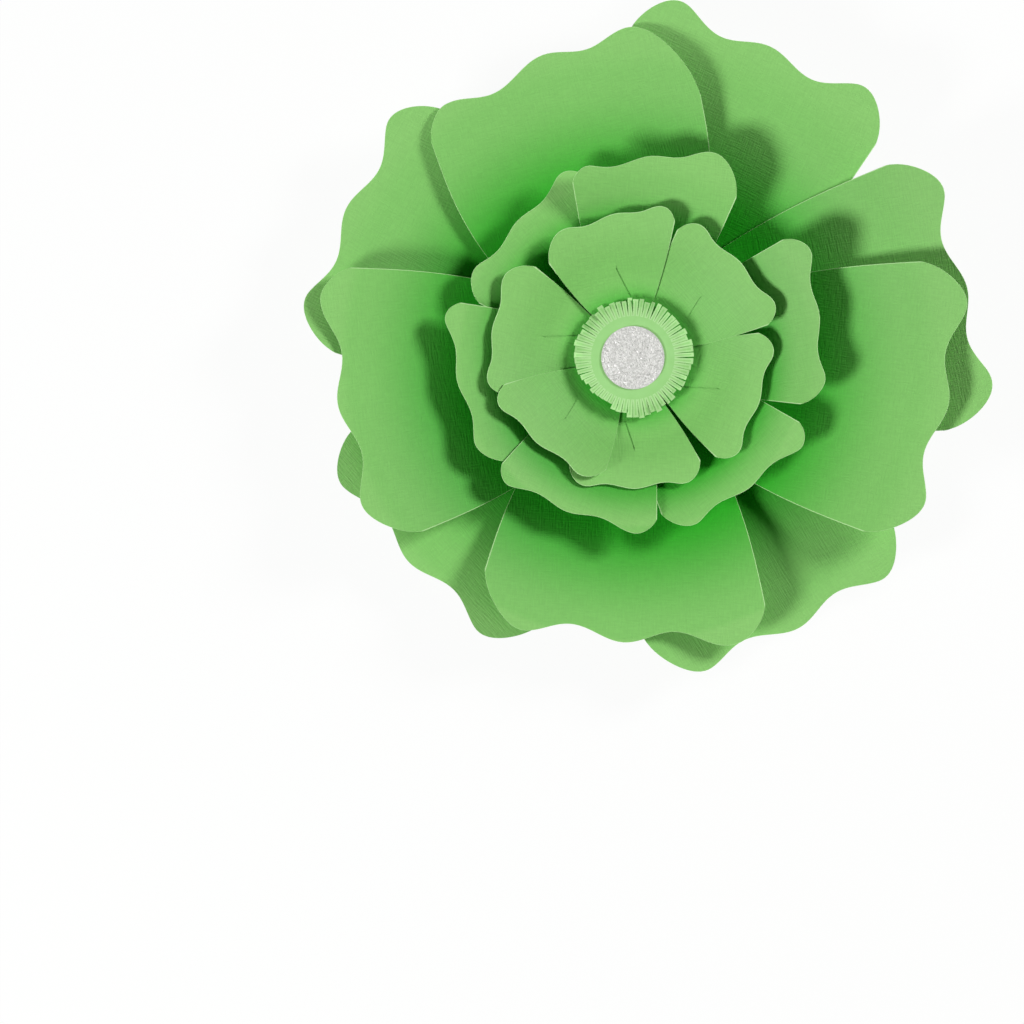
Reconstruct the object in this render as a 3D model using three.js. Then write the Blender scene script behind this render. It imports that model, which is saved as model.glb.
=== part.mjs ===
// Giant paper flower, folded and cut from card, lying on its back.
// Millimetres. The origin is the centre of the base disc's back face. +Z comes out of the flower's face.
// Twenty-one petals in three sizes are glued to round bases, with a fringed cap at the centre.
import * as THREE from "three";
import { ParametricGeometry } from "three/addons/geometries/ParametricGeometry.js";
import { mergeGeometries, mergeVertices } from "three/addons/utils/BufferGeometryUtils.js";

// Card, board and the air left between glued pieces
const card = 0.3;
const board = 2;
const gap = 0.3;

// Round bases and the centre
const baseDiscRadius = 55;
const middleDiscRadius = 40;
const middleDiscBoard = 1;
const smallDiscRadius = 32;
const smallDiscBoard = 1;
const padRadius = 20;
const padHeight = 9;
const glitterRadius = 19;
const glitterCard = 0.4;
const capShoulderRadius = 19.5;
const fringeRootRadius = 25;
const fringeBendRadius = 30.5;
const fringeTipRadius = 35.6;
const fringeTipSpread = 0.9;
const capShoulderDrop = 1.1;
const fringeBendDrop = 3.2;
const fringeDrop = 7.9;
const fringeDropSpread = 0.8;
const fringeStrips = 60;
const fringeSlit = 0.4;

// Stretches of the fringe that were trimmed shorter: direction of the middle, and half the angle, in degrees
const fringeTrims = [
  { heading: 230, spread: 36, depth: 5 },
  { heading: 322, spread: 32, depth: 2 },
];

// Ease is extra air where bent sheets cross. Two flaps with air between them make a petal's glued end.
const ease = 0.55;
const flapsDepth = 2 * card + gap;
const overFlaps = flapsDepth + gap + ease;
const overSides = card + gap + ease;

// Petal templates, one for each size. Radii are from the flower's axis, and a slope is rise over run.
//   storeyHeight        from one petal to the next one over it, where they cross
//   base, baseHalf      where the glued end starts, and half its width
//   half, bulge         half the petal's width at the rim, and how far its sides swell
//   leftCorner, rightCorner   radius of each of the rim's two corners
//   wave, crest, shift  depth of the wavy rim, distance between its crests, how far left the middle one is
//   slitEnd, lap        where the dart's slit stops, and how far each flap crosses over per mm of slit
//   fold, foldWidth     where the petal leaves the flat, and over what distance it bends
//   slope               how steeply it then rises
//   curl, curlWidth     how far the rim curls back, and over what distance
//   cup, cupStart       how far the sides are raised, and from where
//   columns, rows       cells across half the petal, and cells from the slit's end to the rim
const largePetal = {
  storeyHeight: overFlaps,
  base: 24,
  baseHalf: 36,
  half: 81.5,
  bulge: 6,
  leftCorner: 26,
  rightCorner: 26,
  wave: 8,
  crest: 62,
  shift: 0,
  slitEnd: 76,
  lap: 0.22,
  foldWidth: 26,
  curl: 7,
  curlWidth: 48,
  cup: 5,
  cupStart: 88,
  columns: 7,
  rows: 5,
};
const backPetal = { ...largePetal, fold: 58, slope: 0.25 };
const frontPetal = { ...largePetal, fold: 56, slope: 0.37 };
const middlePetal = {
  storeyHeight: overFlaps,
  base: 20,
  baseHalf: 24,
  half: 49.3,
  bulge: 0,
  leftCorner: 16,
  rightCorner: 16,
  wave: 3.4,
  crest: 41,
  shift: 0,
  slitEnd: 62,
  lap: 0.24,
  fold: 38,
  foldWidth: 18,
  slope: 0.55,
  curl: 5,
  curlWidth: 28,
  cup: 2.5,
  cupStart: 76,
  columns: 5,
  rows: 3,
};
const smallPetal = {
  storeyHeight: overSides,
  base: 14,
  baseHalf: 8,
  half: 39.4,
  bulge: 2,
  leftCorner: 15,
  rightCorner: 15,
  wave: 3.2,
  crest: 37,
  shift: 0,
  slitEnd: 56.5,
  lap: 0.3,
  fold: 34,
  foldWidth: 20,
  slope: 0.63,
  curl: 4,
  curlWidth: 22,
  cup: 2,
  cupStart: 48,
  columns: 5,
  rows: 3,
};

// Petals in the order they are glued, each size numbered anticlockwise from the top.
//   storey    how many petals its glued end lies on
//   heading   direction of its middle line, in degrees anticlockwise from +X
//   reach     how far its rim lies from the flower's axis
//   skew      how much its rim leans to one side, and bow how far its corners hang back
//   twist     how far its left side stands above its right
// A petal that was cut or pressed a little differently gives its own value in place of the template's.
const backPetals = [
  {
    name: "back_petal_1", storey: 0, heading: 66.1, reach: 204.2, skew: 0.02, bow: -5, twist: 6,
    leftCorner: 29, slope: 0.3, cup: 4,
  },
  {
    name: "back_petal_3", storey: 0, heading: 222.3, reach: 182.3, skew: -0.01, bow: 3.3, twist: 1,
    rightCorner: 22,
  },
  {
    name: "back_petal_2", storey: 1, heading: 152.6, reach: 194.1, skew: -0.04, bow: 0, twist: 0,
    half: 79.8, slope: 0.32,
  },
  {
    name: "back_petal_4", storey: 1, heading: 301.4, reach: 190.7, skew: 0.07, bow: 5, twist: -1,
    half: 82.3, bulge: 9,
  },
  {
    name: "back_petal_5", storey: 2, heading: 11.9, reach: 204.8, skew: -0.05, bow: -3, twist: 4,
    rightCorner: 32, slope: 0.26, curl: -1, curlWidth: 40,
  },
];
const frontPetals = [
  {
    name: "front_petal_1", storey: 0, heading: 105.7, reach: 189.9, skew: -0.16, bow: 3.7, twist: -2,
    cup: 1, bulge: 12, leftCorner: 14, rightCorner: 52, shift: 5.4,
  },
  {
    name: "front_petal_3", storey: 0, heading: 268, reach: 171.1, skew: 0.04, bow: 5.3, twist: 0,
    half: 84.4, leftCorner: 17,
  },
  {
    name: "front_petal_2", storey: 1, heading: 189.7, reach: 179.3, skew: -0.03, bow: 3.3, twist: 1,
    rightCorner: 16, shift: -1.5,
  },
  {
    name: "front_petal_4", storey: 1, heading: 351.4, reach: 191.1, skew: 0.06, bow: 2.5, twist: -1,
    half: 82.5, curl: 3,
  },
];
const middlePetals = [
  { name: "middle_petal_2", storey: 0, heading: 130.4, reach: 107.4, skew: -0.13, bow: -1, twist: 0 },
  {
    name: "middle_petal_6", storey: 0, heading: 12.6, reach: 114.6, skew: 0.11, bow: 0, twist: 0,
    curl: 1, cup: 0,
  },
  {
    name: "middle_petal_1", storey: 1, heading: 82.7, reach: 122.3, skew: -0.27, bow: 0, twist: 7,
    leftCorner: 10, rightCorner: 30, shift: 6.3, cup: 1,
  },
  {
    name: "middle_petal_3", storey: 1, heading: 189.4, reach: 106.2, skew: -0.08, bow: 2, twist: 0,
    rightCorner: 11, shift: -3,
  },
  {
    name: "middle_petal_5", storey: 1, heading: 311.3, reach: 104.9, skew: 0.09, bow: 1.3, twist: 0,
    leftCorner: 12,
  },
  {
    name: "middle_petal_4", storey: 2, heading: 248.2, reach: 100.6, skew: -0.02, bow: 3, twist: 0,
    leftCorner: 10, rightCorner: 10, shift: -2.7,
  },
];
const smallPetals = [
  { name: "small_petal_3", storey: 0, heading: 340.3, reach: 80.6, skew: -0.01, bow: -1, twist: 0 },
  { name: "small_petal_4", storey: 0, heading: 271, reach: 78.8, skew: -0.01, bow: 0.7, twist: 0 },
  {
    name: "small_petal_6", storey: 0, heading: 166.6, reach: 86.5, skew: -0.09, bow: -3.4, twist: 0,
    rightCorner: 23, shift: 3.3,
  },
  { name: "small_petal_2", storey: 1, heading: 41.8, reach: 86.2, skew: -0.03, bow: -1, twist: 0 },
  {
    name: "small_petal_1", storey: 2, heading: 100.4, reach: 86.6, skew: -0.06, bow: -2, twist: 0,
    leftCorner: 21, shift: -3.6,
  },
  { name: "small_petal_5", storey: 1, heading: 221.8, reach: 77.2, skew: -0.14, bow: -0.4, twist: 0 },
];

// Rows of cells along a dart's flaps, and the short stretch in which the slit opens
const flapRows = 4;
const slitNick = 2.5;

// How far outside its outline a sheet still counts when another one is fitted over it
const outlineMargin = 2;

// Rise below which a sheet is taken as lying flat on the one under it
const flatRise = 1;

// Widest part of a petal that its two flaps may both cover
const lapShare = 0.7;

// How much closer together the columns of cells are at a petal's sides than at its middle
const sideCrowding = 0.35;

const discFacets = 32;
const radians = Math.PI / 180;

const leafGreen = new THREE.MeshStandardMaterial({ color: "#8fcd78", roughness: 0.8, metalness: 0 });
const paleGreen = new THREE.MeshStandardMaterial({ color: "#9ad585", roughness: 0.8, metalness: 0 });
const greyBoard = new THREE.MeshStandardMaterial({ color: "#d9d6cc", roughness: 0.9, metalness: 0 });
const whiteFoam = new THREE.MeshStandardMaterial({ color: "#f2f2ee", roughness: 0.9, metalness: 0 });
const silverGlitter = new THREE.MeshStandardMaterial({ color: "#dadcd6", roughness: 0.45, metalness: 0.3 });

const flower = new THREE.Group();

function addMesh(name, geometry, material) {
  const mesh = new THREE.Mesh(geometry, material);
  mesh.name = name;
  flower.add(mesh);
}

// Soft bend: level up to zero, then curving until it rises one for one after the given width.
function softRamp(distance, width) {
  const beyond = Math.max(0, distance);
  return beyond < width ? (beyond * beyond) / (2 * width) : beyond - width / 2;
}

// Distance from the axis to the rim, measured along the heading, at a place b to the left of the middle line
function rimAt(petal, b) {
  const across = b / petal.half;
  const waves = (petal.wave * (1 - Math.cos((2 * Math.PI * (b - petal.shift)) / petal.crest))) / 2;
  const corner = b > 0 ? petal.leftCorner : petal.rightCorner;
  const intoCorner = Math.min(1, Math.max(0, (Math.abs(b) - petal.half + corner) / corner));
  const cornerDrop = corner * (1 - Math.sqrt(1 - intoCorner * intoCorner));
  return petal.reach + petal.skew * b - petal.bow * across * across - waves - cornerDrop;
}

// Half the petal's width at a distance a along the heading. Side is 1 on the left and -1 on the right.
function halfWidthAt(petal, side, a) {
  const length = rimAt(petal, side * petal.half) - petal.base;
  const along = Math.min(1, Math.max(0, (a - petal.base) / length));
  return petal.baseHalf + (petal.half - petal.baseHalf) * along + petal.bulge * Math.sin(Math.PI * along);
}

// How far a flap crosses the middle line, once the slit has opened
function lapAt(petal, width, a) {
  const crossed = petal.lap * (petal.slitEnd - slitNick - a) - gap / 2;
  return a >= petal.slitEnd ? 0 : Math.min(crossed, lapShare * width);
}

// Height of the sheet's back at a place in its own plan. Every petal of a layer shares one bowl up to cupStart.
function heightAt(petal, { a, b }) {
  const r = Math.hypot(a, b);
  const across = b / petal.half;
  const rise = softRamp(r - petal.fold, petal.foldWidth) * (petal.slope + petal.lean);
  const curled = Math.max(0, (r - petal.reach + petal.curlWidth) / petal.curlWidth);
  const cupped = THREE.MathUtils.smoothstep(r, petal.cupStart, petal.reach);
  const sides = cupped * (petal.cup * across * across + petal.twist * across);
  return petal.floor + rise - petal.curl * curled * curled + sides;
}

// Plan place of a grid point on one half of a petal: column runs 0 to 1 from the middle to the side, and
// row counts the cells from the glued end: one to the fold, the rest of the flap's, and then those to the rim.
function planPoint(petal, side, column, row) {
  const spread = column * (1 + sideCrowding - sideCrowding * column * column);
  if (row < flapRows) {
    const pastFold = Math.max(0, row - 1) / (flapRows - 2);
    const a = row === 0 ? petal.base : petal.fold + (petal.slitEnd - slitNick - petal.fold) * pastFold;
    const width = halfWidthAt(petal, side, a);
    const lap = lapAt(petal, width, a);
    return { a, b: side * (spread * (width + lap) - lap), width, lap };
  }
  const along = (row - flapRows) / petal.rows;
  const rim = rimAt(petal, side * spread * petal.half);
  const sideRim = rimAt(petal, side * petal.half);
  const width = halfWidthAt(petal, side, petal.slitEnd + (sideRim - petal.slitEnd) * along);
  return { a: petal.slitEnd + (rim - petal.slitEnd) * along, b: side * spread * width, width, lap: 0 };
}

// The left flap lies on the right one, and comes back down to the sheet's own level at its outer side.
function flapLift(side, row, { b, width, lap }) {
  if (side < 0 || row >= flapRows) return 0;
  const pastLap = Math.max(0, b - Math.max(0, lap)) / (width - Math.max(0, lap));
  return (card + gap) * (1 - pastLap);
}

function insideOutline(petal, { a, b }) {
  if (a < petal.base - outlineMargin || Math.abs(b) > petal.half) return false;
  const side = b < 0 ? -1 : 1;
  return a < rimAt(petal, b) + outlineMargin && Math.abs(b) < halfWidthAt(petal, side, a) + outlineMargin;
}

// Every grid point of a petal, for fitting it on the petals below
function gridPoints(petal) {
  const points = [];
  for (const side of [-1, 1]) {
    for (let row = 0; row <= flapRows + petal.rows; row += 1) {
      for (let column = 0; column <= petal.columns; column += 1) {
        points.push(planPoint(petal, side, column / petal.columns, row));
      }
    }
  }
  return points;
}

// A place in one petal's plan, as a place in another's
function placeIn(other, petal, { a, b }) {
  const turn = (petal.heading - other.heading) * radians;
  return { a: a * Math.cos(turn) - b * Math.sin(turn), b: a * Math.sin(turn) + b * Math.cos(turn) };
}

// The lean that a petal needs to clear one below it, at one place in its own plan
function leanAt(petal, below, place) {
  const ramp = softRamp(Math.hypot(place.a, place.b) - petal.fold, petal.foldWidth);
  const under = placeIn(below, petal, place);
  if (ramp < flatRise || !insideOutline(petal, place) || !insideOutline(below, under)) return 0;
  return (heightAt(below, under) + petal.storeyHeight - heightAt(petal, place)) / ramp;
}

// A petal hinges at its fold until it clears every petal already glued below it.
function leanOn(petal, placed) {
  let lean = 0;
  for (const below of placed) {
    for (const place of gridPoints(petal)) lean = Math.max(lean, leanAt(petal, below, place));
    for (const under of gridPoints(below)) {
      lean = Math.max(lean, leanAt(petal, below, placeIn(petal, below, under)));
    }
  }
  return lean;
}

// Gives an open sheet its thickness: a second skin along the normals, and a wall along every free edge.
function thicken(sheet, thickness) {
  sheet.computeVertexNormals();
  const back = sheet.getAttribute("position");
  const normal = sheet.getAttribute("normal");
  const count = back.count;
  const positions = [...back.array];
  for (let i = 0; i < count; i += 1) {
    positions.push(
      back.getX(i) + normal.getX(i) * thickness,
      back.getY(i) + normal.getY(i) * thickness,
      back.getZ(i) + normal.getZ(i) * thickness,
    );
  }
  const triangles = [];
  const edges = new Map();
  const index = sheet.getIndex().array;
  for (let i = 0; i < index.length; i += 3) {
    const [p, q, s] = [index[i], index[i + 1], index[i + 2]];
    triangles.push(p, s, q, p + count, q + count, s + count);
    for (const [from, to] of [[p, q], [q, s], [s, p]]) edges.set(`${from} ${to}`, [from, to]);
  }
  for (const [from, to] of edges.values()) {
    if (edges.has(`${to} ${from}`)) continue;
    triangles.push(from, to, to + count, from, to + count, from + count);
  }
  const solid = new THREE.BufferGeometry();
  solid.setAttribute("position", new THREE.Float32BufferAttribute(positions, 3));
  solid.setIndex(triangles);
  solid.computeVertexNormals();
  return solid;
}

// One half of a petal, from its middle line to one side, as an open sheet that faces up
function halfSheet(petal, side) {
  const rowCount = flapRows + petal.rows;
  const surface = (across, along, target) => {
    const column = side > 0 ? 1 - across : across;
    const row = Math.round(along * rowCount);
    const place = planPoint(petal, side, column, row);
    const z = heightAt(petal, place) + flapLift(side, row, place);
    target.set(place.a, place.b, z);
  };
  return new ParametricGeometry(surface, petal.columns, rowCount);
}

function petalGeometry(petal) {
  const halves = mergeGeometries([halfSheet(petal, -1), halfSheet(petal, 1)]);
  halves.deleteAttribute("normal");
  halves.deleteAttribute("uv");
  return thicken(mergeVertices(halves, 1e-3), card);
}

function addPetals(template, petals, floor, placed) {
  for (const row of petals) {
    const petal = { ...template, ...row, floor: floor + row.storey * template.storeyHeight, lean: 0 };
    petal.lean = leanOn(petal, placed);
    placed.push(petal);
    const geometry = petalGeometry(petal);
    geometry.rotateZ(petal.heading * radians);
    addMesh(petal.name, geometry, leafGreen);
  }
}

// Height taken by a layer's glued ends, with the air above them
function layerDepth(template, petals) {
  return Math.max(...petals.map((petal) => petal.storey)) * template.storeyHeight + flapsDepth + gap;
}

function addDisc(name, radius, thickness, floor, material) {
  const disc = new THREE.CylinderGeometry(radius, radius, thickness, discFacets);
  disc.rotateX(Math.PI / 2);
  disc.translate(0, 0, floor + thickness / 2);
  addMesh(name, disc, material);
}

// Repeatable scatter between -1 and 1, for strips that were cut and bent by hand
function scatter(number) {
  const wave = Math.sin(number * 12.9898) * 43758.5453;
  return 2 * (wave - Math.floor(wave)) - 1;
}

// How much shorter the fringe is in a direction, given in radians
function trimAt(angle) {
  let trimmed = 0;
  for (const trim of fringeTrims) {
    const turn = angle - trim.heading * radians;
    const off = Math.abs(Math.atan2(Math.sin(turn), Math.cos(turn)));
    trimmed += trim.depth * Math.max(0, 1 - (off / (trim.spread * radians)) ** 2);
  }
  return trimmed;
}

// The cap is one round of card. Its rim is slit into strips that are bent down.
function capGeometry(floor) {
  const positions = [0, 0, floor];
  const triangles = [];
  const addPoint = (radius, angle, drop) => {
    positions.push(radius * Math.cos(angle), radius * Math.sin(angle), floor - drop);
    return positions.length / 3 - 1;
  };
  const pitch = (2 * Math.PI) / fringeStrips;
  // Slits are cut straight outwards and stay narrow, so a strip is widest at its tip.
  const addAcross = (index, radius, drop) => {
    const turn = pitch / 2 - fringeSlit / (2 * radius);
    const middle = (index + 0.5) * pitch;
    return [addPoint(radius, middle - turn, drop), addPoint(radius, middle + turn, drop)];
  };
  const shoulder = [];
  const root = [];
  for (let i = 0; i < fringeStrips; i += 1) {
    shoulder.push(addPoint(capShoulderRadius, i * pitch, 0));
    root.push(addPoint(fringeRootRadius, i * pitch, capShoulderDrop));
  }
  for (let i = 0; i < fringeStrips; i += 1) {
    const next = (i + 1) % fringeStrips;
    triangles.push(0, shoulder[i], shoulder[next]);
    triangles.push(shoulder[i], root[i], root[next], shoulder[i], root[next], shoulder[next]);
    const [bendRight, bendLeft] = addAcross(i, fringeBendRadius, fringeBendDrop);
    const tipRadius = fringeTipRadius - trimAt((i + 0.5) * pitch) + fringeTipSpread * scatter(i);
    const tipDrop = fringeDrop + fringeDropSpread * scatter(i + 0.5);
    const fallen = (tipRadius - fringeBendRadius) / (fringeTipRadius - fringeBendRadius);
    const [right, left] = addAcross(i, tipRadius, fringeBendDrop + (tipDrop - fringeBendDrop) * fallen);
    triangles.push(root[i], bendRight, bendLeft, root[i], bendLeft, root[next]);
    triangles.push(bendRight, right, left, bendRight, left, bendLeft);
  }
  const sheet = new THREE.BufferGeometry();
  sheet.setAttribute("position", new THREE.Float32BufferAttribute(positions, 3));
  sheet.setIndex(triangles);
  return thicken(sheet, card);
}

const placed = [];
addDisc("base_disc", baseDiscRadius, board, 0, greyBoard);
const backFloor = board + gap;
addPetals(backPetal, backPetals, backFloor, placed);
const frontFloor = backFloor + layerDepth(backPetal, backPetals);
addPetals(frontPetal, frontPetals, frontFloor, placed);
const middleDiscFloor = frontFloor + layerDepth(frontPetal, frontPetals);
addDisc("middle_disc", middleDiscRadius, middleDiscBoard, middleDiscFloor, greyBoard);
const middleFloor = middleDiscFloor + middleDiscBoard + gap;
addPetals(middlePetal, middlePetals, middleFloor, placed);
const smallDiscFloor = middleFloor + layerDepth(middlePetal, middlePetals);
addDisc("small_disc", smallDiscRadius, smallDiscBoard, smallDiscFloor, greyBoard);
const smallFloor = smallDiscFloor + smallDiscBoard + gap;
addPetals(smallPetal, smallPetals, smallFloor, placed);
const padFloor = smallFloor + layerDepth(smallPetal, smallPetals);
addDisc("foam_pad", padRadius, padHeight, padFloor, whiteFoam);
const capFloor = padFloor + padHeight + gap;
addMesh("fringe_cap", capGeometry(capFloor), paleGreen);
addDisc("glitter_disc", glitterRadius, glitterCard, capFloor + card + gap, silverGlitter);

export default flower;
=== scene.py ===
import math
import random

import bmesh
import bpy
from mathutils import Matrix, Vector


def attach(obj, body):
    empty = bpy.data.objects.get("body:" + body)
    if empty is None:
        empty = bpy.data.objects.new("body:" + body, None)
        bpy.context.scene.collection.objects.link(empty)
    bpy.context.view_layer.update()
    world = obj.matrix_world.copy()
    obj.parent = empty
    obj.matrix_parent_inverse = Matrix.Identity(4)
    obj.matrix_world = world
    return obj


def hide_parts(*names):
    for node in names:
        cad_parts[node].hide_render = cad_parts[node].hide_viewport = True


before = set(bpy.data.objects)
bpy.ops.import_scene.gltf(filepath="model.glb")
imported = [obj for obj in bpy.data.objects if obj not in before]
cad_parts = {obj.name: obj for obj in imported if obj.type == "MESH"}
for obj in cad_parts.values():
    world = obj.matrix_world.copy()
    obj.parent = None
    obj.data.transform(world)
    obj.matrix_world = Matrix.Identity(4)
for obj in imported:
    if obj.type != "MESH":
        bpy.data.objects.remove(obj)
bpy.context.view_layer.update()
print("frame loaded:", len(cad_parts), "nodes")

mm = 0.001
random.seed(20)


def toLinear(hexColour):
    channels = [int(hexColour[i:i + 2], 16) / 255 for i in (1, 3, 5)]
    linear = [c / 12.92 if c <= 0.04045 else ((c + 0.055) / 1.055) ** 2.4 for c in channels]
    return (*linear, 1)


def addNode(tree, kind, inputs=None, **settings):
    node = tree.nodes.new(kind)
    for name, value in settings.items():
        setattr(node, name, value)
    for name, value in (inputs or {}).items():
        if isinstance(value, bpy.types.NodeSocket):
            tree.links.new(value, node.inputs[name])
        else:
            node.inputs[name].default_value = value
    return node


def newMaterial(name):
    material = bpy.data.materials.new(name)
    material.use_nodes = True
    tree = material.node_tree
    tree.nodes.clear()
    shader = addNode(tree, "ShaderNodeBsdfPrincipled")
    addNode(tree, "ShaderNodeOutputMaterial", {"Surface": shader.outputs["BSDF"]})
    return material, tree, shader


# Linen-embossed card: threads pressed into a coloured sheet in two directions. It gives the eye a matt
# face with a faint cloth grain. Its colour is painted shade and painted light: a dark saturated green near
# the middle, where the upper layers shade it, and paler towards the curled rims, where the lamps light it.
# Real threads lie 0.6 mm apart. They are drawn 0.95 mm apart, so that they show in the render.
linenCard = {
    "paintedShadeGreen": "#1aa90d", "paintedLightGreen": "#8dc970", "threadDark": 0.94, "threadLight": 1.06,
    "thread": 0.95, "threadRun": 8, "threadDetail": 1.5, "threadRoughness": 0.55, "hollow": 0.7, "ridge": 1.3,
    "patch": 70, "patchDetail": 2, "patchShare": 0.5,
    "roughness": 0.65, "specular": 0.35, "sheen": 0.1, "sheenRoughness": 0.5,
    "emboss": 1, "embossDepth": 0.12,
}


def makeLinenCard(name, recipe):
    material, tree, shader = newMaterial(name)
    plane = addNode(tree, "ShaderNodeUVMap", uv_map="cardPlane")
    threads = []
    for across, along in ((recipe["thread"], recipe["threadRun"]), (recipe["threadRun"], recipe["thread"])):
        scaled = addNode(tree, "ShaderNodeMapping", {
            "Vector": plane.outputs["UV"], "Scale": (1 / across, 1 / along, 1)})
        threads.append(addNode(tree, "ShaderNodeTexNoise", {
            "Vector": scaled.outputs["Vector"], "Scale": 1, "Detail": recipe["threadDetail"],
            "Roughness": recipe["threadRoughness"]}, noise_dimensions="2D"))
    weave = addNode(tree, "ShaderNodeMath", {0: threads[0].outputs["Fac"], 1: threads[1].outputs["Fac"]},
                    operation="ADD")
    height = addNode(tree, "ShaderNodeMapRange", {
        "Value": weave.outputs["Value"], "From Min": recipe["hollow"], "From Max": recipe["ridge"]})
    rim = addNode(tree, "ShaderNodeUVMap", uv_map="towardsRim")
    paintedLightSplit = addNode(tree, "ShaderNodeSeparateXYZ", {"Vector": rim.outputs["UV"]})
    # Painted shade near the middle of the flower turns into painted light towards the rims.
    colour = addNode(tree, "ShaderNodeMixRGB", {
        "Fac": paintedLightSplit.outputs["X"], "Color1": toLinear(recipe["paintedShadeGreen"]), "Color2": toLinear(recipe["paintedLightGreen"])})
    patches = addNode(tree, "ShaderNodeTexNoise", {
        "Vector": plane.outputs["UV"], "Scale": 1 / recipe["patch"], "Detail": recipe["patchDetail"]},
        noise_dimensions="2D")
    mottle = addNode(tree, "ShaderNodeMath", {
        0: patches.outputs["Fac"], 1: recipe["patchShare"], 2: height.outputs["Result"]},
        operation="MULTIPLY_ADD")
    tone = addNode(tree, "ShaderNodeMapRange", {
        "Value": mottle.outputs["Value"], "From Min": 0, "From Max": 1 + recipe["patchShare"],
        "To Min": recipe["threadDark"], "To Max": recipe["threadLight"]})
    shaded = addNode(tree, "ShaderNodeVectorMath", {
        0: colour.outputs["Color"], "Scale": tone.outputs["Result"]}, operation="SCALE")
    emboss = addNode(tree, "ShaderNodeBump", {
        "Height": height.outputs["Result"], "Strength": recipe["emboss"],
        "Distance": recipe["embossDepth"] * mm})
    tree.links.new(shaded.outputs["Vector"], shader.inputs["Base Color"])
    tree.links.new(emboss.outputs["Normal"], shader.inputs["Normal"])
    shader.inputs["Roughness"].default_value = recipe["roughness"]
    shader.inputs["Specular IOR Level"].default_value = recipe["specular"]
    shader.inputs["Sheen Weight"].default_value = recipe["sheen"]
    shader.inputs["Sheen Roughness"].default_value = recipe["sheenRoughness"]
    return material


# Matt stuff with a fine speckle. Grey board is pressed pulp, foam shows its cells, the cut edge of card
# shows its paler core, whose colour on a narrow strip of a petal's face along its sides and rim is a painted
# highlight, and the cap's card has its smooth side out.
greyPulp = {
    "light": "#d9d6cc", "dark": "#c3bfb3", "grain": 0.9, "roughness": 0.9, "relief": 0.4, "depth": 0.08,
}
foamCells = {
    "light": "#f2f2ee", "dark": "#e2e2dc", "grain": 0.8, "roughness": 0.85, "relief": 0.5, "depth": 0.1,
}
cardCoreAndHighlight = {
    "light": "#c0e8a8", "dark": "#b0dc96", "grain": 0.5, "roughness": 0.8, "relief": 0.3, "depth": 0.05,
}
smoothCard = {
    "light": "#a8db90", "dark": "#98d27e", "grain": 6, "roughness": 0.7, "relief": 0.1, "depth": 0.05,
}
speckleDetail = 3


def makeSpeckled(name, recipe):
    material, tree, shader = newMaterial(name)
    place = addNode(tree, "ShaderNodeTexCoord")
    grain = addNode(tree, "ShaderNodeTexNoise", {
        "Vector": place.outputs["Object"], "Scale": 1 / (recipe["grain"] * mm), "Detail": speckleDetail})
    colour = addNode(tree, "ShaderNodeMixRGB", {
        "Fac": grain.outputs["Fac"], "Color1": toLinear(recipe["dark"]), "Color2": toLinear(recipe["light"])})
    relief = addNode(tree, "ShaderNodeBump", {
        "Height": grain.outputs["Fac"], "Strength": recipe["relief"], "Distance": recipe["depth"] * mm})
    tree.links.new(colour.outputs["Color"], shader.inputs["Base Color"])
    tree.links.new(relief.outputs["Normal"], shader.inputs["Normal"])
    shader.inputs["Roughness"].default_value = recipe["roughness"]
    return material


# Silver glitter: cut foil flakes about 1 mm across, glued on at all angles. Their colour is painted
# reflection: mostly white or light grey at random for the flash of the foil, and a few dark for foil that
# reflects away.
glitterFlakes = {
    "glintWhite": "#fff9fc", "dark": "#a09a9c", "patch": 1.1, "bias": 0.2, "roughness": 0.3, "metallic": 0.05,
}
glitterGlue = {
    "light": "#e8e3e4", "dark": "#c6c0c2", "grain": 0.8, "roughness": 0.5, "relief": 0.6, "depth": 0.2,
}


def makeFlakes(name, recipe):
    material, tree, shader = newMaterial(name)
    place = addNode(tree, "ShaderNodeTexCoord")
    patches = addNode(tree, "ShaderNodeTexVoronoi", {
        "Vector": place.outputs["Object"], "Scale": 1 / (recipe["patch"] * mm)})
    grey = addNode(tree, "ShaderNodeSeparateColor", {"Color": patches.outputs["Color"]})
    # Painted glints: most patches white, a few dark grey
    mostlyGlint = addNode(tree, "ShaderNodeMath", {0: grey.outputs["Red"], 1: recipe["bias"]},
                           operation="POWER")
    colour = addNode(tree, "ShaderNodeMixRGB", {
        "Fac": mostlyGlint.outputs["Value"], "Color1": toLinear(recipe["dark"]),
        "Color2": toLinear(recipe["glintWhite"])})
    tree.links.new(colour.outputs["Color"], shader.inputs["Base Color"])
    shader.inputs["Roughness"].default_value = recipe["roughness"]
    shader.inputs["Metallic"].default_value = recipe["metallic"]
    return material


petalCard = makeLinenCard("linen_embossed_card", linenCard)
edgeCoreAndHighlight = makeSpeckled("cut_edge_core_and_highlight", cardCoreAndHighlight)
capCard = makeSpeckled("smooth_card", smoothCard)
board = makeSpeckled("grey_board", greyPulp)
foam = makeSpeckled("white_foam", foamCells)
flakeFoil = makeFlakes("glitter_flakes", glitterFlakes)
flakeGlue = makeSpeckled("glitter_ground", glitterGlue)
print("materials made")

# Sheets and the air between them, in millimetres, as the frame has them
stack = {"card": 0.3, "gap": 0.3, "ease": 0.55, "baseBoard": 2, "discBoard": 1}
flapsDepth = 2 * stack["card"] + stack["gap"]
overFlaps = flapsDepth + stack["gap"] + stack["ease"]
overSides = stack["card"] + stack["gap"] + stack["ease"]
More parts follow.
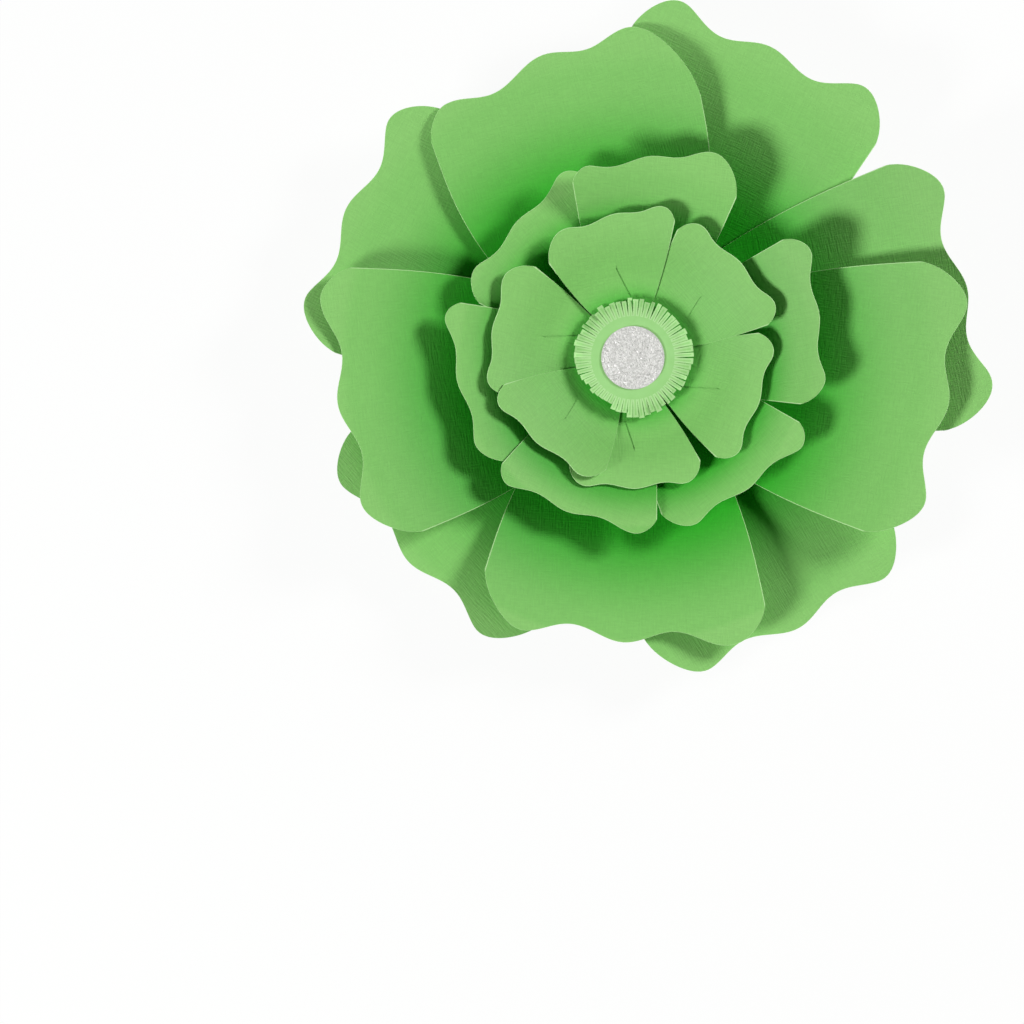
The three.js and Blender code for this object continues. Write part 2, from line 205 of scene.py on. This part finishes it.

# Petal templates. Places on a petal are a along its middle line from the flower's axis, and b to its left.
# The card's colour is painted shade, a dark saturated green, up to paintedShadeUntil, and painted light,
# nearly at its lightest, from paintedLightFrom.
largePetal = {
    "storeyHeight": overFlaps, "base": 24, "baseHalf": 36, "half": 81.5, "bulge": 6,
    "leftCorner": 26, "rightCorner": 26, "wave": 8, "crest": 62, "shift": 0,
    "slitEnd": 76, "lap": 0.22, "foldWidth": 26, "curl": 7, "curlWidth": 48,
    "cup": 5, "cupStart": 88, "columns": 40, "flapRows": 16, "rows": 38,
    "paintedShadeUntil": 98, "paintedLightFrom": 168, "rimHighlightStrip": 0.15,
}
backPetal = {**largePetal, "fold": 58, "slope": 0.25}
frontPetal = {**largePetal, "fold": 56, "slope": 0.37}
middlePetal = {
    "storeyHeight": overFlaps, "base": 20, "baseHalf": 24, "half": 49.3, "bulge": 0,
    "leftCorner": 16, "rightCorner": 16, "wave": 3.4, "crest": 41, "shift": 0,
    "slitEnd": 62, "lap": 0.24, "fold": 38, "foldWidth": 18, "slope": 0.55, "curl": 5, "curlWidth": 28,
    "cup": 2.5, "cupStart": 76, "columns": 32, "flapRows": 14, "rows": 22,
    "paintedShadeUntil": 76, "paintedLightFrom": 102, "rimHighlightStrip": 0.22,
}
smallPetal = {
    "storeyHeight": overSides, "base": 14, "baseHalf": 8, "half": 39.4, "bulge": 2,
    "leftCorner": 15, "rightCorner": 15, "wave": 3.2, "crest": 37, "shift": 0,
    "slitEnd": 56.5, "lap": 0.3, "fold": 34, "foldWidth": 20, "slope": 0.63, "curl": 4, "curlWidth": 22,
    "cup": 2, "cupStart": 48, "columns": 28, "flapRows": 20, "rows": 18,
    "paintedShadeUntil": 26, "paintedLightFrom": 50, "rimHighlightStrip": 0.32,
}
slitNick = 2.5  # from the last row of the flaps to the end of the slit
lapShare = 0.7  # a flap crosses over by at most this share of its width
sideCrowding = 0.35
paintedHighlightStrip = 0.08  # width of the light-coloured strip along a side, a painted highlight
paintedLightShare = 0.84  # share of the painted light that the card has at paintedLightFrom
flatRise = 1  # a place that rises less than this tells nothing about a petal's lean
sharpAngle = 1  # radians between the two faces at a cut edge
weldReach = 0.001

# name, storey, heading, reach, skew, bow, twist, and what this petal has of its own
backPetals = [
    ("back_petal_1", 0, 66.1, 204.2, 0.02, -5, 6, {"leftCorner": 29, "slope": 0.3, "cup": 4}),
    ("back_petal_3", 0, 222.3, 182.3, -0.01, 3.3, 1, {"rightCorner": 22}),
    ("back_petal_2", 1, 152.6, 194.1, -0.04, 0, 0, {"half": 79.8, "slope": 0.32}),
    ("back_petal_4", 1, 301.4, 190.7, 0.07, 5, -1, {"half": 82.3, "bulge": 9}),
    ("back_petal_5", 2, 11.9, 204.8, -0.05, -3, 4,
     {"rightCorner": 32, "slope": 0.26, "curl": -1, "curlWidth": 40}),
]
frontPetals = [
    ("front_petal_1", 0, 105.7, 189.9, -0.16, 3.7, -2,
     {"cup": 1, "bulge": 12, "leftCorner": 14, "rightCorner": 52, "shift": 5.4}),
    ("front_petal_3", 0, 268, 171.1, 0.04, 5.3, 0, {"half": 84.4, "leftCorner": 17}),
    ("front_petal_2", 1, 189.7, 179.3, -0.03, 3.3, 1, {"rightCorner": 16, "shift": -1.5}),
    ("front_petal_4", 1, 351.4, 191.1, 0.06, 2.5, -1, {"half": 82.5, "curl": 3}),
]
middlePetals = [
    ("middle_petal_2", 0, 130.4, 107.4, -0.13, -1, 0, {}),
    ("middle_petal_6", 0, 12.6, 114.6, 0.11, 0, 0, {"curl": 1, "cup": 0}),
    ("middle_petal_1", 1, 82.7, 122.3, -0.27, 0, 7,
     {"leftCorner": 10, "rightCorner": 30, "shift": 6.3, "cup": 1}),
    ("middle_petal_3", 1, 189.4, 106.2, -0.08, 2, 0, {"rightCorner": 11, "shift": -3}),
    ("middle_petal_5", 1, 311.3, 104.9, 0.09, 1.3, 0, {"leftCorner": 12}),
    ("middle_petal_4", 2, 248.2, 100.6, -0.02, 3, 0, {"leftCorner": 10, "rightCorner": 10, "shift": -2.7}),
]
smallPetals = [
    ("small_petal_3", 0, 340.3, 80.6, -0.01, -1, 0, {}),
    ("small_petal_4", 0, 271, 78.8, -0.01, 0.7, 0, {}),
    ("small_petal_6", 0, 166.6, 86.5, -0.09, -3.4, 0, {"rightCorner": 23, "shift": 3.3}),
    ("small_petal_2", 1, 41.8, 86.2, -0.03, -1, 0, {}),
    ("small_petal_1", 2, 100.4, 86.6, -0.06, -2, 0, {"leftCorner": 21, "shift": -3.6}),
    ("small_petal_5", 1, 221.8, 77.2, -0.14, -0.4, 0, {}),
]


def clamp(value):
    return min(1, max(0, value))


def softRamp(distance, width):
    beyond = max(0, distance)
    return beyond * beyond / (2 * width) if beyond < width else beyond - width / 2


def smoothStep(value, start, end):
    t = clamp((value - start) / (end - start))
    return t * t * (3 - 2 * t)


def rimAt(petal, b):
    across = b / petal["half"]
    waves = petal["wave"] * (1 - math.cos(2 * math.pi * (b - petal["shift"]) / petal["crest"])) / 2
    corner = petal["leftCorner"] if b > 0 else petal["rightCorner"]
    intoCorner = clamp((abs(b) - petal["half"] + corner) / corner)
    cornerDrop = corner * (1 - math.sqrt(1 - intoCorner ** 2))
    return petal["reach"] + petal["skew"] * b - petal["bow"] * across ** 2 - waves - cornerDrop


def halfWidthAt(petal, side, a):
    along = clamp((a - petal["base"]) / (rimAt(petal, side * petal["half"]) - petal["base"]))
    swell = petal["bulge"] * math.sin(math.pi * along)
    return petal["baseHalf"] + (petal["half"] - petal["baseHalf"]) * along + swell


def lapAt(petal, width, a):
    crossed = petal["lap"] * (petal["slitEnd"] - slitNick - a) - stack["gap"] / 2
    return 0 if a >= petal["slitEnd"] else min(crossed, lapShare * width)


def heightAt(petal, a, b):
    r = math.hypot(a, b)
    across = b / petal["half"]
    rise = softRamp(r - petal["fold"], petal["foldWidth"]) * (petal["slope"] + petal["lean"])
    curled = max(0, (r - petal["reach"] + petal["curlWidth"]) / petal["curlWidth"])
    cupped = smoothStep(r, petal["cupStart"], petal["reach"])
    return (petal["floor"] + rise - petal["curl"] * curled ** 2
            + cupped * (petal["cup"] * across ** 2 + petal["twist"] * across))


# How far a column lies from the middle edge of half a petal to its side. The first and last are narrow.
def crossing(petal, column, across):
    if column == 0:
        return 0
    if column == petal["columns"]:
        return across
    t = (column - 1) / (petal["columns"] - 2)
    return paintedHighlightStrip + (across - 2 * paintedHighlightStrip) * t * (1 + sideCrowding - sideCrowding * t ** 2)


# A grid point of half a petal: columns run from the middle line to the side, and rows from the glued end
# to the rim.
def cardPlace(petal, side, column, row):
    if row < petal["flapRows"]:
        a = petal["base"] + (petal["slitEnd"] - slitNick - petal["base"]) * row / (petal["flapRows"] - 1)
        width = halfWidthAt(petal, side, a)
        lap = lapAt(petal, width, a)
        b = side * (crossing(petal, column, width + lap) - lap)
        z = heightAt(petal, a, b)
        if side > 0:  # the left flap lies on the right one
            pastLap = max(0, b - max(0, lap)) / (width - max(0, lap))
            z += (stack["card"] + stack["gap"]) * (1 - pastLap)
        return Vector((a, b, z))
    rim = rimAt(petal, side * crossing(petal, column, petal["half"]))
    sideRim = rimAt(petal, side * petal["half"])
    along = min(1, (row - petal["flapRows"]) / (petal["rows"] - 1))
    # The last row is a narrow strip at the rim, which carries the painted highlight.
    back = petal["rimHighlightStrip"] if row < petal["flapRows"] + petal["rows"] else 0
    a = petal["slitEnd"] + (rim - back - petal["slitEnd"]) * along
    width = halfWidthAt(petal, side, petal["slitEnd"] + (sideRim - petal["slitEnd"]) * along)
    b = side * crossing(petal, column, width)
    return Vector((a, b, heightAt(petal, a, b)))


def insideOutline(petal, a, b, margin=2):
    if a < petal["base"] - margin or abs(b) > petal["half"]:
        return False
    return a < rimAt(petal, b) + margin and abs(b) < halfWidthAt(petal, math.copysign(1, b), a) + margin


# A thinned grid of places on a petal, for fitting it on the petals below
def gridPlaces(petal, step=4):
    places = []
    for side in (-1, 1):
        for row in range(0, petal["flapRows"] + petal["rows"] + 1, step):
            for column in range(0, petal["columns"] + 1, step):
                spot = cardPlace(petal, side, column, row)
                places.append((spot.x, spot.y))
    return places


def placeIn(other, petal, a, b):
    turn = math.radians(petal["heading"] - other["heading"])
    return a * math.cos(turn) - b * math.sin(turn), a * math.sin(turn) + b * math.cos(turn)


def leanAt(petal, below, a, b):
    ramp = softRamp(math.hypot(a, b) - petal["fold"], petal["foldWidth"])
    under = placeIn(below, petal, a, b)
    if ramp < flatRise or not insideOutline(petal, a, b) or not insideOutline(below, *under):
        return 0
    return (heightAt(below, *under) + petal["storeyHeight"] - heightAt(petal, a, b)) / ramp


# A petal hinges at its fold until it clears every petal already glued below it.
def leanOn(petal, placed):
    lean = 0
    for below in placed:
        for a, b in gridPlaces(petal):
            lean = max(lean, leanAt(petal, below, a, b))
        for a, b in gridPlaces(below):
            lean = max(lean, leanAt(petal, below, *placeIn(petal, below, a, b)))
    return lean


placedPetals = []


def finishPiece(name, bm, materials):
    mesh = bpy.data.meshes.new(name)
    bm.to_mesh(mesh)
    bm.free()
    piece = bpy.data.objects.new(name, mesh)
    bpy.context.scene.collection.objects.link(piece)
    for material in materials:
        mesh.materials.append(material)
    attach(piece, "root")
    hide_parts(name)
    return piece


def smoothBetweenEdges(bm, angle=0.7):
    for face in bm.faces:
        face.smooth = True
    for edge in bm.edges:
        edge.smooth = len(edge.link_faces) == 2 and edge.calc_face_angle() < angle


# Gives an open sheet its thickness, upwards, and its cut edges their own material. The faces end up turned
# inwards.
def thickenCard(bm, thickness):
    before = set(bm.faces)
    bmesh.ops.solidify(bm, geom=bm.faces[:], thickness=-thickness)
    for face in set(bm.faces) - before:
        if any(edge.calc_face_angle(0) > sharpAngle for edge in face.edges):
            face.material_index = 1
    smoothBetweenEdges(bm)


def addPetal(template, row, floor):
    name, storey, heading, reach, skew, bow, twist, own = row
    petal = {**template, "heading": heading, "reach": reach, "skew": skew, "bow": bow, "twist": twist,
             "lean": 0, **own, "floor": floor + storey * template["storeyHeight"]}
    petal["lean"] = leanOn(petal, placedPetals)
    print(name, "leans by", round(petal["lean"], 4))
    placedPetals.append(petal)
    bm = bmesh.new()
    plane = bm.loops.layers.uv.new("cardPlane")
    towardsRim = bm.loops.layers.uv.new("towardsRim")
    rowCount = petal["flapRows"] + petal["rows"]
    for side in (-1, 1):
        before = set(bm.verts)
        bmesh.ops.create_grid(bm, x_segments=rowCount, y_segments=petal["columns"], size=0.5)
        for vert in set(bm.verts) - before:
            column = round((vert.co.y * side + 0.5) * petal["columns"])
            vert.co = cardPlace(petal, side, column, round((vert.co.x + 0.5) * rowCount))
    bmesh.ops.remove_doubles(bm, verts=bm.verts[:], dist=weldReach)
    for face in bm.faces:
        for loop in face.loops:
            loop[plane].uv = (loop.vert.co.y, loop.vert.co.x)
            r = loop.vert.co.xy.length
            # Painted shade up to paintedShadeUntil, then painted light growing to the rim
            paintedLightAmount = (paintedLightShare * smoothStep(r, petal["paintedShadeUntil"], petal["paintedLightFrom"])
                        + (1 - paintedLightShare) * smoothStep(r, petal["paintedLightFrom"], petal["reach"]))
            loop[towardsRim].uv = (paintedLightAmount, 0)
        # Faces along the sides and the rim take the cut edge's light colour: a painted highlight along the
        # edges.
        if any(edge.is_boundary for edge in face.edges):
            face.material_index = 1
    thickenCard(bm, stack["card"])
    lapReach = petal["lap"] * (petal["slitEnd"] - petal["base"])
    for face in bm.faces:
        centre = face.calc_center_median()
        if centre.x < petal["slitEnd"] and abs(centre.y) < lapReach:
            face.material_index = 0
    turn = Matrix.Rotation(math.radians(heading), 4, "Z")
    bmesh.ops.transform(bm, matrix=Matrix.Scale(mm, 4) @ turn, verts=bm.verts[:])
    return finishPiece(name, bm, [petalCard, edgeCoreAndHighlight])


def layerDepth(template, petals):
    return max(row[1] for row in petals) * template["storeyHeight"] + flapsDepth + stack["gap"]


roundBoards = {
    "baseRadius": 55, "middleRadius": 40, "smallRadius": 32, "facets": 128, "edge": 0.25, "edgeSteps": 2,
}


# Round blanks are cut from board, with the sharp edge just broken.
def addBlank(name, radius, thickness, floor, broken, material):
    bm = bmesh.new()
    bmesh.ops.create_cone(bm, cap_ends=True, segments=roundBoards["facets"], radius1=radius, radius2=radius,
                          depth=thickness, matrix=Matrix.Translation((0, 0, floor + thickness / 2)))
    rims = [edge for edge in bm.edges if edge.calc_face_angle() > sharpAngle]
    bmesh.ops.bevel(bm, geom=rims, offset=broken, offset_type="OFFSET", segments=roundBoards["edgeSteps"],
                    profile=0.5, affect="EDGES", material=-1)
    smoothBetweenEdges(bm)
    bmesh.ops.transform(bm, matrix=Matrix.Scale(mm, 4), verts=bm.verts[:])
    return finishPiece(name, bm, [material])


addBlank("base_disc", roundBoards["baseRadius"], stack["baseBoard"], 0, roundBoards["edge"],
         board)
backFloor = stack["baseBoard"] + stack["gap"]
for row in backPetals:
    addPetal(backPetal, row, backFloor)
frontFloor = backFloor + layerDepth(backPetal, backPetals)
for row in frontPetals:
    addPetal(frontPetal, row, frontFloor)
print("large petals made")

middleDiscFloor = frontFloor + layerDepth(frontPetal, frontPetals)
addBlank("middle_disc", roundBoards["middleRadius"], stack["discBoard"], middleDiscFloor, roundBoards["edge"],
         board)
middleFloor = middleDiscFloor + stack["discBoard"] + stack["gap"]
for row in middlePetals:
    addPetal(middlePetal, row, middleFloor)
smallDiscFloor = middleFloor + layerDepth(middlePetal, middlePetals)
addBlank("small_disc", roundBoards["smallRadius"], stack["discBoard"], smallDiscFloor, roundBoards["edge"],
         board)
smallFloor = smallDiscFloor + stack["discBoard"] + stack["gap"]
for row in smallPetals:
    addPetal(smallPetal, row, smallFloor)
print("middle and small petals made")

# The pad is a punched round of foam that lifts the cap.
foamPad = {"radius": 20, "height": 9, "edge": 1}
padFloor = smallFloor + layerDepth(smallPetal, smallPetals)
pad = addBlank("foam_pad", foamPad["radius"], foamPad["height"], padFloor, foamPad["edge"],
               foam)

# The cap is one round of card. Its rim is slit into strips, which are bent down and never lie quite alike.
# Trims are stretches of the fringe that were cut shorter: direction of the middle, half the angle, and by
# how much. The inner radii are those of the rings inside the fringe.
capRound = {
    "shoulder": 19.5, "root": 25, "bend": 30.5, "tip": 35.6, "tipSpread": 1.3,
    "rootDrop": 1.1, "rootEase": 1.5, "bendDrop": 3.2, "tipDrop": 7.9, "dropSpread": 0.8,
    "trims": [(230, 36, 5), (322, 32, 2)], "innerRadii": [0, 10, 18.5, 19.5, 21.5, 23.3, 25],
    "strips": 60, "cellsAcross": 3, "cellsAlong": 8, "slit": 0.24, "slitOpening": 3, "sway": 0.1,
    "swayBend": 1.5, "twist": 1, "wedges": 0.3, "wedge": 0.5, "upward": 0.4,
}
capFloor = padFloor + foamPad["height"] + stack["gap"]


# How much shorter the fringe is in a direction, given in radians
def trimAt(angle):
    trimmed = 0
    for heading, spread, depth in capRound["trims"]:
        off = abs((math.degrees(angle) - heading + 180) % 360 - 180)
        trimmed += depth * max(0, 1 - (off / spread) ** 2)
    return trimmed


def capDrop(radius, tipDrop):
    cap = capRound
    if radius < cap["root"]:
        past = clamp((radius - cap["shoulder"]) / (cap["root"] - cap["shoulder"]))
        return cap["rootDrop"] * past ** cap["rootEase"]
    if radius < cap["bend"]:
        past = (radius - cap["root"]) / (cap["bend"] - cap["root"])
        return cap["rootDrop"] + (cap["bendDrop"] - cap["rootDrop"]) * past
    past = (radius - cap["bend"]) / (cap["tip"] - cap["bend"])
    return cap["bendDrop"] + (tipDrop - cap["bendDrop"]) * past


def addCap(cap):
    bm = bmesh.new()
    rootRing = len(cap["innerRadii"]) - 1
    ringCount = rootRing + cap["cellsAlong"]
    spokes = cap["strips"] * cap["cellsAcross"]
    bmesh.ops.create_grid(bm, x_segments=spokes, y_segments=ringCount, size=0.5)
    pitch = 2 * math.pi / cap["strips"]
    strips = [{
        "tip": cap["tip"] - trimAt((i + 0.5) * pitch) + cap["tipSpread"] * random.uniform(-1, 1),
        "drop": cap["tipDrop"] + cap["dropSpread"] * random.uniform(-1, 1),
        "sway": cap["sway"] * random.uniform(-1, 1),
        "twist": cap["twist"] * random.uniform(-1, 1),
        "wedge": cap["wedge"] * random.random() if random.random() < cap["wedges"] else 0,
    } for i in range(cap["strips"])]
    places = {}
    for vert in bm.verts:
        places[vert] = (round((vert.co.x + 0.5) * spokes), round((vert.co.y + 0.5) * ringCount))
    for vert, (spoke, ring) in places.items():
        past = ring - rootRing
        inFringe = cap["root"] + past * (cap["tip"] - cap["root"]) / cap["cellsAlong"]
        radius = cap["innerRadii"][ring] if past <= 0 else inFringe
        angle = spoke * 2 * math.pi / spokes
        vert.co = (radius * math.cos(angle), radius * math.sin(angle), capFloor - capDrop(radius, 0))
    slits = [edge for edge in bm.edges
             if places[edge.verts[0]][0] == places[edge.verts[1]][0]
             and places[edge.verts[0]][0] % cap["cellsAcross"] == 0
             and min(places[edge.verts[0]][1], places[edge.verts[1]][1]) >= rootRing]
    bmesh.ops.split_edges(bm, edges=slits)
    inner = [vert for vert in bm.verts if vert.co.xy.length < cap["root"] + 10 * weldReach]
    bmesh.ops.remove_doubles(bm, verts=inner, dist=weldReach)
    for vert in bm.verts:
        along = (vert.co.xy.length - cap["root"]) / (cap["tip"] - cap["root"])
        if along < weldReach:
            continue
        centres = [face.calc_center_median() for face in vert.link_faces]
        centre = sum(centres, Vector()) / len(centres)
        index = int(math.atan2(centre.y, centre.x) % (2 * math.pi) / pitch) % cap["strips"]
        strip = strips[index]
        heading = (index + 0.5) * pitch
        offAxis = (math.atan2(vert.co.y, vert.co.x) - heading + math.pi) % (2 * math.pi) - math.pi
        reach = cap["root"] + (strip["tip"] - cap["root"]) * along
        halfStrip = (pitch * reach - cap["slit"] * min(1, cap["slitOpening"] * along)) / 2
        share = offAxis / (pitch / 2)
        aside = share * halfStrip * (1 - strip["wedge"] * along) + strip["sway"] * along ** cap["swayBend"]
        fall = capDrop(reach, strip["drop"]) + strip["twist"] * along * share
        out = Vector((math.cos(heading), math.sin(heading), 0))
        left = Vector((-math.sin(heading), math.cos(heading), 0))
        vert.co = out * reach + left * aside + Vector((0, 0, capFloor - fall))
    bmesh.ops.reverse_faces(bm, faces=bm.faces[:])
    thickenCard(bm, stack["card"])
    bm.normal_update()
    for face in bm.faces:  # the cut ends of the strips keep the card's own colour
        if face.normal.z > cap["upward"]:
            face.material_index = 0
    bmesh.ops.transform(bm, matrix=Matrix.Scale(mm, 4), verts=bm.verts[:])
    return finishPiece("fringe_cap", bm, [capCard, edgeCoreAndHighlight])


addCap(capRound)
print("cap made")

# Glitter card, with its flakes laid on as separate bits of foil
glitter = {
    "radius": 19, "card": 0.4, "flakes": 2400, "flake": 0.5, "corners": 6, "flakeSizes": (0.7, 1.1),
    "foil": 0.04, "tilt": 32, "tiltSpread": 0.5, "lift": 0.12, "lifts": (0.3, 1.2),
}
glitterFloor = capFloor + stack["card"] + stack["gap"]


def addGlitter(disc):
    bm = bmesh.new()
    top = glitterFloor + disc["card"]
    bmesh.ops.create_cone(bm, cap_ends=True, segments=roundBoards["facets"], radius1=disc["radius"],
                          radius2=disc["radius"], depth=disc["card"],
                          matrix=Matrix.Translation((0, 0, glitterFloor + disc["card"] / 2)))
    smoothBetweenEdges(bm)
    ground = set(bm.faces)
    for _ in range(disc["flakes"]):
        radius = (disc["radius"] - disc["flake"]) * math.sqrt(random.random())
        angle = random.uniform(0, 2 * math.pi)
        place = Matrix.Translation((radius * math.cos(angle), radius * math.sin(angle),
                                    top + disc["lift"] * random.uniform(*disc["lifts"])))
        turn = Matrix.Rotation(random.uniform(0, math.pi), 4, "Z")
        tilt = Matrix.Rotation(math.radians(disc["tilt"]) * random.gauss(0, disc["tiltSpread"]), 4, "X")
        size = disc["flake"] * random.uniform(*disc["flakeSizes"])
        bmesh.ops.create_cone(bm, cap_ends=True, segments=disc["corners"], radius1=size, radius2=size,
                              depth=disc["foil"], matrix=place @ turn @ tilt)
    for face in bm.faces:
        if face not in ground:
            face.material_index = 1
    bmesh.ops.transform(bm, matrix=Matrix.Scale(mm, 4), verts=bm.verts[:])
    return finishPiece("glitter_disc", bm, [flakeGlue, flakeFoil])


addGlitter(glitter)
print("glitter made")

# Floor, camera and lamps. The camera looks straight down on the flower, which lies on its back.
studio = {
    "floorSize": 3.0, "floorDrop": 0.2, "floorColour": "#f4f4f2", "floorRoughness": 0.9, "whiteShare": 0.93,
    "viewCentre": (-72.6, -92.7), "viewWidth": 614.4, "sharpHeight": 40, "lens": 400, "sensor": 36,
    "farClip": 50,
}


def addFloor():
    bm = bmesh.new()
    bmesh.ops.create_grid(bm, x_segments=1, y_segments=1, size=studio["floorSize"])
    bmesh.ops.translate(bm, verts=bm.verts[:], vec=(0, 0, -studio["floorDrop"] * mm))
    mesh = bpy.data.meshes.new("floor")
    bm.to_mesh(mesh)
    bm.free()
    floor = bpy.data.objects.new("floor", mesh)
    bpy.context.scene.collection.objects.link(floor)
    material, tree, shader = newMaterial("floor_paper")
    shader.inputs["Base Color"].default_value = toLinear(studio["floorColour"])
    shader.inputs["Roughness"].default_value = studio["floorRoughness"]
    output = next(node for node in tree.nodes if node.type == "OUTPUT_MATERIAL")
    white = addNode(tree, "ShaderNodeEmission", {"Color": (1, 1, 1, 1), "Strength": 1})
    path = addNode(tree, "ShaderNodeLightPath")
    seen = addNode(tree, "ShaderNodeMath", {
        0: path.outputs["Is Camera Ray"], 1: path.outputs["Is Glossy Ray"]}, operation="MAXIMUM")
    share = addNode(tree, "ShaderNodeMath", {0: seen.outputs["Value"], 1: studio["whiteShare"]},
                    operation="MULTIPLY")
    mixed = addNode(tree, "ShaderNodeMixShader", {0: share.outputs["Value"], 1: shader.outputs["BSDF"],
                                                  2: white.outputs["Emission"]})
    tree.links.new(mixed.outputs["Shader"], output.inputs["Surface"])
    mesh.materials.append(material)


def addCamera():
    data = bpy.data.cameras.new("camera")
    data.lens = studio["lens"]
    data.sensor_width = studio["sensor"]
    data.clip_end = studio["farClip"]
    camera = bpy.data.objects.new("camera", data)
    bpy.context.scene.collection.objects.link(camera)
    height = studio["sharpHeight"] + studio["viewWidth"] * studio["lens"] / studio["sensor"]
    camera.location = (studio["viewCentre"][0] * mm, studio["viewCentre"][1] * mm, height * mm)
    bpy.context.scene.camera = camera


# Two softboxes face each other across the flower, and a broad lamp overhead fills the shadows a little.
# The faint green surrounding light stands for light thrown from petal to petal.
lamps = [
    {"name": "right_softbox", "azimuth": 28, "elevation": 31, "distance": 3, "size": 0.85, "power": 75},
    {"name": "left_softbox", "azimuth": 210, "elevation": 31, "distance": 3, "size": 0.85, "power": 81},
    {"name": "top_fill", "azimuth": 90, "elevation": 50, "distance": 3, "size": 1.6, "power": 2},
]
worldLight = 0.1
worldColour = "#b4ffa8"


def addLamps():
    for lamp in lamps:
        azimuth = math.radians(lamp["azimuth"])
        elevation = math.radians(lamp["elevation"])
        data = bpy.data.lights.new(lamp["name"], "AREA")
        data.shape = "DISK"
        data.size = lamp["size"]
        data.energy = lamp["power"]
        holder = bpy.data.objects.new(lamp["name"], data)
        bpy.context.scene.collection.objects.link(holder)
        holder.location = lamp["distance"] * Vector((
            math.cos(elevation) * math.cos(azimuth), math.cos(elevation) * math.sin(azimuth),
            math.sin(elevation)))
        holder.rotation_euler = (-holder.location).to_track_quat("-Z", "Y").to_euler()
    world = bpy.data.worlds.new("studio")
    bpy.context.scene.world = world
    world.use_nodes = True
    background = world.node_tree.nodes["Background"]
    background.inputs["Color"].default_value = toLinear(worldColour)
    background.inputs["Strength"].default_value = worldLight


addFloor()
addCamera()
addLamps()
bpy.context.scene.view_settings.view_transform = "Standard"
print("studio made")
